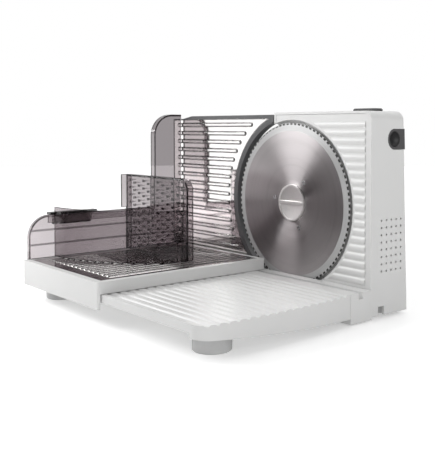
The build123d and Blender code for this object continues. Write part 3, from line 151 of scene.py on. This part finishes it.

# Steels and brass: darker and lighter colour, roughness, softened edge, and for sheets the width of the
# painted shade along their creases
SHEET = dict(
    dark=(0.72, 0.70, 0.69),
    light=(0.80, 0.78, 0.77),
    gloss=(0.05, 0.1),
    edge=1 * MM,
    stretch=(0.12, 1.0, 1.0),
)
STEELS = {
    "sheet_steel": dict(**SHEET, painted_crease_shade=1 * MM),
    "gauge_steel": dict(**SHEET, painted_crease_shade=2.4 * MM),
    "lock_metal": dict(dark=(0.80, 0.78, 0.77), light=(0.86, 0.84, 0.83), gloss=(0.34, 0.42), edge=0.4 * MM),
    "machined_steel": dict(
        dark=(0.56, 0.56, 0.57), light=(0.66, 0.66, 0.67), gloss=(0.22, 0.35), edge=0.2 * MM
    ),
    "plate_steel": dict(dark=(0.5, 0.51, 0.53), light=(0.62, 0.63, 0.65), gloss=(0.3, 0.42), edge=0.3 * MM),
    "spring_steel": dict(dark=(0.22, 0.22, 0.23), light=(0.30, 0.30, 0.31), gloss=(0.3, 0.45), edge=0.1 * MM),
    "screw_steel": dict(dark=(0.52, 0.52, 0.54), light=(0.66, 0.66, 0.68), gloss=(0.25, 0.38), edge=0.2 * MM),
    "rotor_steel": dict(dark=(0.26, 0.22, 0.19), light=(0.36, 0.30, 0.26), gloss=(0.4, 0.6)),
    "ferrite": dict(dark=grey(0.08), light=(0.12, 0.12, 0.13), gloss=(0.5, 0.7)),
    "brass": dict(dark=(0.68, 0.50, 0.22), light=(0.80, 0.60, 0.28), gloss=(0.25, 0.38), edge=0.2 * MM),
}
# Near-black painted shade along the creases of the ribbed steel sheets
PAINTED_CREASE_SHADE = grey(0.015)
GRINDING_RELIEF = 0.008 * MM

# Rubber of the feet and the gland
RUBBER_GREY = (grey(0.54), grey(0.62))
RUBBER_GLOSS = (0.55, 0.75)
RUBBER_EDGE = 0.5 * MM
RUBBER_RELIEF = 0.05 * MM

# Nodes whose material isn't the one of their slot
OWN_MATERIALS = {
    "pusher_plate": "smoke_spiked",
    "pusher_saddle": "saddle_plastic",
    "side_button": "button_plastic",
    "gauge_sheet": "gauge_steel",
}

# The floor: its glow near the slicer and far away, over a span of distances in metres
FLOOR_RADIUS = 3.0
FLOOR_SIDES = 96
FLOOR_PALE = (grey(0.93), grey(0.95))
FLOOR_GLOSS = (0.5, 0.6)
FLOOR_GLOW = (0.28, 0.62)
FLOOR_GLOW_SPAN = (0.25, 0.8)

# The room: its level low down and high up, over a span of heights, and the share of it that mirrors show
ROOM_LEVELS = (0.05, 0.45)
ROOM_SPAN = (0.2, 0.7)
MIRRORED_SHARE = 0.25
WHITE = (*grey(1.0), 1.0)

# Bright fields of the room: direction, cosines at the soft rim and the core, strength, only in mirrors or not
SWEEP_FIELDS = [
    ((-0.75, 0.64, 0.16), (0.55, 0.9), 0.75, False),
    ((-0.1, 0.64, 0.76), (0.8, 0.95), 1.1, True),
    ((0.35, -0.91, -0.22), (0.75, 0.93), 0.7, True),
]

# Soft boxes above and to the right, and two cards on the left that the steel mirrors:
# place and target in millimetres from the blade's centre, width and height in metres, watts
SLICER_MIDDLE = (-30, -60, -20)
LIGHTS = {
    "top_box": ((-60, -60, 1100), SLICER_MIDDLE, (1.4, 1.1), 4.1),
    "right_box": ((1300, -150, 500), SLICER_MIDDLE, (0.9, 0.7), 5.0),
    "gauge_card": ((-680, -352, 0), (-140, 0, 20), (0.40, 0.26), 0.55),
    "blade_card": ((-650, -600, 420), (0, 0, 0), (0.6, 0.4), 6.0),
}


def place(x, y, z):
    """Point given in millimetres from the blade's centre, in the row frame."""
    return ORIGIN + Vector((x, y, z)) * MM


class Tree:
    """A node tree with short ways to add and join nodes."""

    def __init__(self, owner, output):
        owner.use_nodes = True
        self.tree = owner.node_tree
        self.tree.nodes.clear()
        self.output = self.add(output)

    def add(self, kind, **settings):
        node = self.tree.nodes.new(kind)
        for key, value in settings.items():
            setattr(node, key, value)
        return node

    def join(self, source, target):
        self.tree.links.new(source, target)

    def feed(self, sockets, values):
        """Joins each value that is a socket, and sets each that is a number."""
        for socket, value in zip(sockets, values):
            if isinstance(value, (int, float)):
                socket.default_value = value
            else:
                self.join(value, socket)

    def math(self, operation, *values):
        node = self.add("ShaderNodeMath", operation=operation)
        self.feed(node.inputs, values)
        return node.outputs["Value"]

    def multiply(self, first, second):
        return self.math("MULTIPLY", first, second)

    def rest_of(self, share):
        """One less the share."""
        return self.math("SUBTRACT", 1.0, share)

    def split(self, vector):
        """Outputs X, Y and Z of a vector."""
        parts = self.add("ShaderNodeSeparateXYZ")
        self.join(vector, parts.inputs["Vector"])
        return parts.outputs

    def spread(self, factor, low, high, span=NOISE_SPAN, **settings):
        """Factor over span becomes a value from low to high."""
        node = self.add("ShaderNodeMapRange", **settings)
        sockets = [node.inputs[name] for name in ("From Min", "From Max", "To Min", "To Max")]
        self.feed(sockets, (*span, low, high))
        self.join(factor, node.inputs["Value"])
        return node.outputs["Result"]

    def step(self, factor, start, end):
        """Nought up to start, rising to one at end."""
        return self.spread(factor, 0.0, 1.0, (start, end))


class Shade(Tree):
    """A material's node tree, round one Principled shader."""

    def __init__(self, name):
        self.material = bpy.data.materials.new(name)
        super().__init__(self.material, "ShaderNodeOutputMaterial")
        self.bsdf = self.add("ShaderNodeBsdfPrincipled")
        self.join(self.bsdf.outputs["BSDF"], self.output.inputs["Surface"])
        self.point = self.add("ShaderNodeTexCoord").outputs["Object"]

    def drive(self, name, socket):
        """Lets a socket drive the shader's own socket of that name."""
        self.join(socket, self.bsdf.inputs[name])

    def set(self, **values):
        """Uniform values on the shader's own sockets; an underscore stands for a space."""
        for key, value in values.items():
            self.bsdf.inputs[key.replace("_", " ")].default_value = value

    def stretched(self, scale):
        """Object coordinates scaled along each axis."""
        mapping = self.add("ShaderNodeMapping")
        mapping.inputs["Scale"].default_value = scale
        self.join(self.point, mapping.inputs["Vector"])
        return mapping.outputs["Vector"]

    def noise(self, kind, vector=None):
        scale, detail = NOISES[kind]
        node = self.add("ShaderNodeTexNoise")
        node.inputs["Scale"].default_value = scale
        node.inputs["Detail"].default_value = detail
        node.inputs["Roughness"].default_value = NOISE_ROUGHNESS
        self.join(vector or self.point, node.inputs["Vector"])
        return node.outputs["Fac"]

    def ramp(self, factor, colors, stops=RAMP_STOPS):
        """Colour that runs through colors as factor runs through stops."""
        node = self.add("ShaderNodeValToRGB")
        elements = node.color_ramp.elements
        while len(elements) < len(stops):
            elements.new(stops[1])
        for element, position, color in zip(elements, stops, colors):
            element.position = position
            element.color = (*color, 1.0)
        self.join(factor, node.inputs["Fac"])
        return node.outputs["Color"]

    def blend(self, factor, first, second):
        """Colour that goes from first to second with factor."""
        node = self.add("ShaderNodeMix", data_type="RGBA")
        for socket, source in zip(MIX_COLOR_INPUTS, (factor, first, second)):
            self.join(source, node.inputs[socket])
        return node.outputs[MIX_COLOR_OUTPUT]

    def softened(self, radius):
        """Normal that rounds the edges off by radius."""
        edge = self.add("ShaderNodeBevel", samples=EDGE_SAMPLES)
        edge.inputs["Radius"].default_value = radius
        return edge.outputs["Normal"]

    def bump(self, height, distance, rounding=0.0):
        """Fine relief, over edges that are rounded by a small radius."""
        node = self.add("ShaderNodeBump")
        node.inputs["Distance"].default_value = distance
        self.join(height, node.inputs["Height"])
        if rounding:
            self.join(self.softened(rounding), node.inputs["Normal"])
        self.drive("Normal", node.outputs["Normal"])

    def smoke(self):
        """Tint that deepens with the thickness of the piece."""
        volume = self.add("ShaderNodeVolumeAbsorption")
        volume.inputs["Color"].default_value = SMOKE_TINT
        volume.inputs["Density"].default_value = SMOKE_DENSITY
        self.join(volume.outputs["Volume"], self.output.inputs["Volume"])

    def within(self, low, high):
        """One inside the box from low to high in X and Z, else nought."""
        parts = self.split(self.point)
        inside = 1.0
        for axis, name in ((0, "X"), (2, "Z")):
            above = self.math("GREATER_THAN", parts[name], low[axis])
            below = self.math("LESS_THAN", parts[name], high[axis])
            inside = self.multiply(inside, self.multiply(above, below))
        return inside

    def near_edge(self, radius):
        """Nought on flat surface, rising to one within radius of an edge."""
        aligned = self.add("ShaderNodeVectorMath", operation="DOT_PRODUCT")
        self.join(self.softened(radius), aligned.inputs[0])
        self.join(self.add("ShaderNodeNewGeometry").outputs["True Normal"], aligned.inputs[1])
        return self.step(self.rest_of(aligned.outputs["Value"]), 0.0, EDGE_TURN)

    def round_axis(self, centre):
        """Radius about the line along Y through centre, in metres, and the angle about it."""
        parts = self.split(self.point)
        across = self.math("SUBTRACT", parts["X"], centre[0])
        upward = self.math("SUBTRACT", parts["Z"], centre[2])
        squares = self.math("ADD", self.multiply(across, across), self.multiply(upward, upward))
        return self.math("SQRT", squares), self.math("ARCTAN2", upward, across)


def plastic(name, dark, light, gloss, coat=0.0):
    """Moulded plastic: slight colour drift, uneven gloss and a fine eroded grain."""
    shade = Shade(name)
    shade.drive("Base Color", shade.ramp(shade.noise("plastic_drift"), (dark, light)))
    grain = shade.noise("mould_grain")
    uneven = shade.math("ADD", shade.noise("plastic_patches"), shade.multiply(grain, GRAIN_IN_GLOSS))
    shade.drive("Roughness", shade.spread(uneven, *gloss))
    shade.bump(grain, GRAIN_RELIEF, PLASTIC_EDGE)
    shade.set(IOR=PLASTIC_IOR, Coat_Weight=coat, Coat_Roughness=COAT_ROUGHNESS)
    return shade.material


def dress_smoke(shade, painted_shade_share):
    """Gives shade the look of smoked acrylic, with the painted dark shade of a cut edge where the given share
    is one.
    """
    clear = shade.ramp(shade.noise("smoke_drift"), SMOKE_CLEAR)
    # Painted shade: the near-black cut-edge colour is blended in by the given share
    cut_shade = shade.ramp(shade.noise("cut_drift"), SMOKE_CUT_SHADE)
    shade.drive("Base Color", shade.blend(painted_shade_share, clear, cut_shade))
    shade.drive("Roughness", shade.spread(shade.noise("smoke_gloss"), *SMOKE_GLOSS))
    shade.bump(shade.noise("smoke_waves"), WAVE_RELIEF)
    shade.set(Transmission_Weight=1.0, IOR=SMOKE_IOR)
    shade.smoke()


def smoke_plastic(name):
    """Clear acrylic whose warm smoke tint deepens with thickness, with painted dark shade along its cut
    edges.
    """
    shade = Shade(name)
    dress_smoke(shade, shade.near_edge(CUT_WIDTH))
    return shade.material


def spiked_smoke(name):
    """Smoke of the pusher plate: inside its rim the spikes have roots in painted dark shade and clear shafts.
    """
    shade = Shade(name)
    low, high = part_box("pusher_plate")
    inside = shade.within([value + PLATE_RIM for value in low], [value - PLATE_RIM for value in high])
    plate_face = high[1] - SPIKE_LENGTH
    depth = shade.split(shade.point)["Y"]
    spikes = shade.multiply(inside, shade.math("GREATER_THAN", depth, plate_face + PAST_FACE))
    shafts = shade.multiply(inside, shade.math("GREATER_THAN", depth, plate_face + SPIKE_ROOT))
    edges = shade.multiply(shade.near_edge(CUT_WIDTH), shade.rest_of(inside))
    # Painted shade: the roots of the spikes and the cut edges outside them take the dark edge colour
    dress_smoke(shade, shade.math("MAXIMUM", edges, shade.math("SUBTRACT", spikes, shafts)))
    shade.drive("Alpha", shade.spread(shafts, 1.0, SHAFT_ALPHA, SHARE_SPAN))
    return shade.material


def saddle_plastic(name):
    """Black moulded cap over legs of dark smoke."""
    shade = Shade(name)
    cap_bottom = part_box("pusher_saddle")[1][2] - SADDLE_CAP
    legs = shade.ramp(shade.noise("saddle_drift"), SADDLE_LEGS)
    cap = shade.ramp(shade.noise("saddle_drift"), SADDLE_BLACK)
    in_cap = shade.step(shade.split(shade.point)["Z"], cap_bottom - SADDLE_BLUR, cap_bottom)
    shade.drive("Base Color", shade.blend(in_cap, legs, cap))
    shade.drive("Transmission Weight", shade.rest_of(in_cap))
    shade.drive("Roughness", shade.spread(shade.noise("saddle_gloss"), *SADDLE_GLOSS))
    shade.bump(shade.noise("mould_grain"), GRAIN_RELIEF, SADDLE_EDGE)
    shade.set(IOR=PLASTIC_IOR)
    shade.smoke()
    return shade.material


def blade_steel(name):
    """Steel turned on a lathe: fine rings that fan the light out, a ground bevel and painted dark shade at
    the gullets.
    """
    shade = Shade(name)
    radius, angle = shade.round_axis(ORIGIN)
    rings = shade.add("ShaderNodeCombineXYZ")
    shade.join(radius, rings.inputs["X"])
    shade.join(shade.multiply(angle, TURNED_TWIST), rings.inputs["Y"])
    lines = shade.noise("turned_lines", rings.outputs["Vector"])
    bands = shade.noise("turned_bands", rings.outputs["Vector"])
    face = shade.ramp(shade.math("ADD", lines, bands), BLADE_FACE, FACE_STOPS)
    bevel = shade.ramp(lines, BLADE_BEVEL)
    # Near-black painted shade on the steel round the gullets, standing in for the shade in the gaps between
    # teeth
    gullet_shade = shade.ramp(lines, BLADE_GULLET_SHADE)

    bevel_start = BEVEL_SHARE * BLADE_RADIUS
    in_bevel = shade.step(radius, bevel_start - BEVEL_BLUR, bevel_start + BEVEL_BLUR)
    gullet_start = BLADE_RADIUS - GULLET_DEPTH
    at_rim = shade.step(radius, gullet_start - GULLET_BLUR, gullet_start + GULLET_BLUR)
    toward_tip = shade.math("COSINE", shade.multiply(angle, BLADE_TEETH))
    in_gullet_shade = shade.multiply(at_rim, shade.spread(toward_tip, 1.0, 0.0, GULLET_SPAN))
    shade.drive("Base Color", shade.blend(in_gullet_shade, shade.blend(in_bevel, face, bevel), gullet_shade))

    duller = shade.multiply(in_bevel, BEVEL_ROUGHER)
    shade.drive("Roughness", shade.math("ADD", shade.spread(bands, *BLADE_GLOSS), duller))
    shade.drive("Metallic", shade.spread(in_bevel, 1.0, BEVEL_METALLIC, SHARE_SPAN))
    shade.bump(lines, TURNED_RELIEF)
    shade.set(Anisotropic=BLADE_ANISOTROPY, Anisotropic_Rotation=QUARTER_TURN)
    tangent = shade.add("ShaderNodeTangent", direction_type="RADIAL", axis="Y")
    shade.drive("Tangent", tangent.outputs["Tangent"])
    return shade.material


def steel(name, dark, light, gloss, edge=0.0, stretch=(1.0, 1.0, 1.0), painted_crease_shade=0.0):
    """Steel with fine grinding marks, drawn out by stretch, and near-black painted shade along its creases.
    """
    shade = Shade(name)
    grinding = shade.noise("grinding", shade.stretched(stretch))
    mean = shade.multiply(shade.math("ADD", grinding, shade.noise("steel_drift")), 0.5)
    if painted_crease_shade:
        # Painted shade: the colour runs to near-black within the given width of each crease
        flat = shade.spread(shade.near_edge(painted_crease_shade), 1.0, 0.0, SHARE_SPAN)
        color = shade.ramp(shade.multiply(mean, flat), (PAINTED_CREASE_SHADE, dark, light), (0.0, *STEEL_STOPS))
    else:
        color = shade.ramp(mean, (dark, light), STEEL_STOPS)
    shade.drive("Base Color", color)
    shade.drive("Roughness", shade.spread(grinding, *gloss))
    shade.bump(grinding, GRINDING_RELIEF, edge)
    shade.set(Metallic=1.0)
    return shade.material


def rubber(name):
    """Grey rubber with a dusty, uneven surface."""
    shade = Shade(name)
    shade.drive("Base Color", shade.ramp(shade.noise("rubber_dust"), RUBBER_GREY))
    shade.drive("Roughness", shade.spread(shade.noise("rubber_gloss"), *RUBBER_GLOSS))
    shade.bump(shade.noise("rubber_grain"), RUBBER_RELIEF, RUBBER_EDGE)
    shade.set(IOR=PLASTIC_IOR)
    return shade.material


def floor_material(name):
    """Plain pale floor whose painted glow grows away from the slicer, as the light on a studio sweep does."""
    shade = Shade(name)
    shade.drive("Base Color", shade.ramp(shade.noise("floor_drift"), FLOOR_PALE))
    shade.drive("Roughness", shade.spread(shade.noise("floor_gloss"), *FLOOR_GLOSS))
    shade.set(Emission_Color=WHITE)
    distance = shade.add("ShaderNodeVectorMath", operation="LENGTH")
    shade.join(shade.point, distance.inputs[0])
    shade.drive("Emission Strength", shade.spread(distance.outputs["Value"], *FLOOR_GLOW, FLOOR_GLOW_SPAN))
    return shade.material


def make_materials():
    """One material for each slot of the record, and those that single nodes have of their own."""
    found = {name: plastic(name, **look) for name, look in PLASTICS.items()}
    found |= {name: steel(name, **look) for name, look in STEELS.items()}
    found["smoke_plastic"] = smoke_plastic("smoke_plastic")
    found["smoke_spiked"] = spiked_smoke("smoke_spiked")
    found["saddle_plastic"] = saddle_plastic("saddle_plastic")
    found["blade_steel"] = blade_steel("blade_steel")
    found["rubber"] = rubber("rubber")
    return found


def dress_nodes():
    """Gives every CAD node the material of its slot, or its own."""
    materials = make_materials()
    for part in frame["record"]["subparts"]:
        name = OWN_MATERIALS.get(part["node"], part["material_slot"])
        mesh = frame["nodes"][part["node"]].data
        mesh.materials.clear()
        mesh.materials.append(materials[name])


def link(scene_object):
    bpy.context.collection.objects.link(scene_object)


def make_camera():
    """Camera at the photograph's place, with the photograph's framing."""
    data = bpy.data.cameras.new("camera")
    data.sensor_width = SENSOR_WIDTH
    data.lens = FOCAL_PIXELS / IMAGE_HEIGHT * SENSOR_WIDTH
    data.shift_x = (IMAGE_WIDTH / 2 - PRINCIPAL_PIXEL[0]) / IMAGE_HEIGHT
    data.shift_y = (PRINCIPAL_PIXEL[1] - IMAGE_HEIGHT / 2) / IMAGE_HEIGHT
    data.clip_start = NEAREST_SEEN
    camera = bpy.data.objects.new("camera", data)
    camera.location = place(*CAMERA_FROM_BLADE)
    camera.rotation_euler = (math.radians(90 - CAMERA_PITCH), 0, math.radians(CAMERA_AZIMUTH))
    link(camera)
    bpy.context.scene.camera = camera


def make_floor():
    """Round pale floor under the feet."""
    mesh = bpy.data.meshes.new("floor")
    turn = 2 * math.pi / FLOOR_SIDES
    ring = [
        (FLOOR_RADIUS * math.cos(turn * side), FLOOR_RADIUS * math.sin(turn * side), 0)
        for side in range(FLOOR_SIDES)
    ]
    mesh.from_pydata(ring, [], [list(range(FLOOR_SIDES))])
    mesh.materials.append(floor_material("floor"))
    floor = bpy.data.objects.new("floor", mesh)
    floor.visible_glossy = False
    link(floor)


def make_light(name, location, target, size, watts):
    """Soft box at location, aimed at target, both in millimetres from the blade's centre."""
    data = bpy.data.lights.new(name, "AREA")
    data.shape = "RECTANGLE"
    data.size, data.size_y = size
    data.energy = watts
    light = bpy.data.objects.new(name, data)
    light.location = place(*location)
    light.rotation_euler = (place(*target) - place(*location)).to_track_quat("-Z", "Y").to_euler()
    link(light)


def make_world():
    """Studio surroundings: bright above and behind, dim round the front at eye level."""
    world = bpy.data.worlds.new("studio")
    room = Tree(world, "ShaderNodeOutputWorld")
    direction = room.add("ShaderNodeTexCoord").outputs["Generated"]
    path = room.add("ShaderNodeLightPath").outputs
    height = room.split(direction)["Z"]
    level = room.spread(height, *ROOM_LEVELS, ROOM_SPAN, interpolation_type="SMOOTHSTEP")
    dimming = room.math("MULTIPLY_ADD", path["Is Glossy Ray"], MIRRORED_SHARE - 1, 1.0)
    level = room.multiply(level, dimming)
    for middle, span, strength, mirrored_only in SWEEP_FIELDS:
        toward = room.add("ShaderNodeVectorMath", operation="DOT_PRODUCT")
        toward.inputs[1].default_value = middle
        room.join(direction, toward.inputs[0])
        lobe = room.spread(toward.outputs["Value"], 0.0, strength, span, interpolation_type="SMOOTHSTEP")
        seen = path["Is Glossy Ray"] if mirrored_only else 1.0
        level = room.math("MULTIPLY_ADD", lobe, seen, level)

    sky = room.add("ShaderNodeBackground")
    sky.inputs["Color"].default_value = WHITE
    room.join(level, sky.inputs["Strength"])
    backdrop = room.add("ShaderNodeBackground")
    backdrop.inputs["Color"].default_value = WHITE
    mix = room.add("ShaderNodeMixShader")
    room.join(path["Is Camera Ray"], mix.inputs["Fac"])
    room.join(sky.outputs["Background"], mix.inputs[1])
    room.join(backdrop.outputs["Background"], mix.inputs[2])
    room.join(mix.outputs["Shader"], room.output.inputs["Surface"])
    bpy.context.scene.world = world


dress_nodes()
make_camera()
make_floor()
make_world()
for light_name, light_look in LIGHTS.items():
    make_light(light_name, *light_look)
bpy.context.scene.view_settings.view_transform = "Standard"
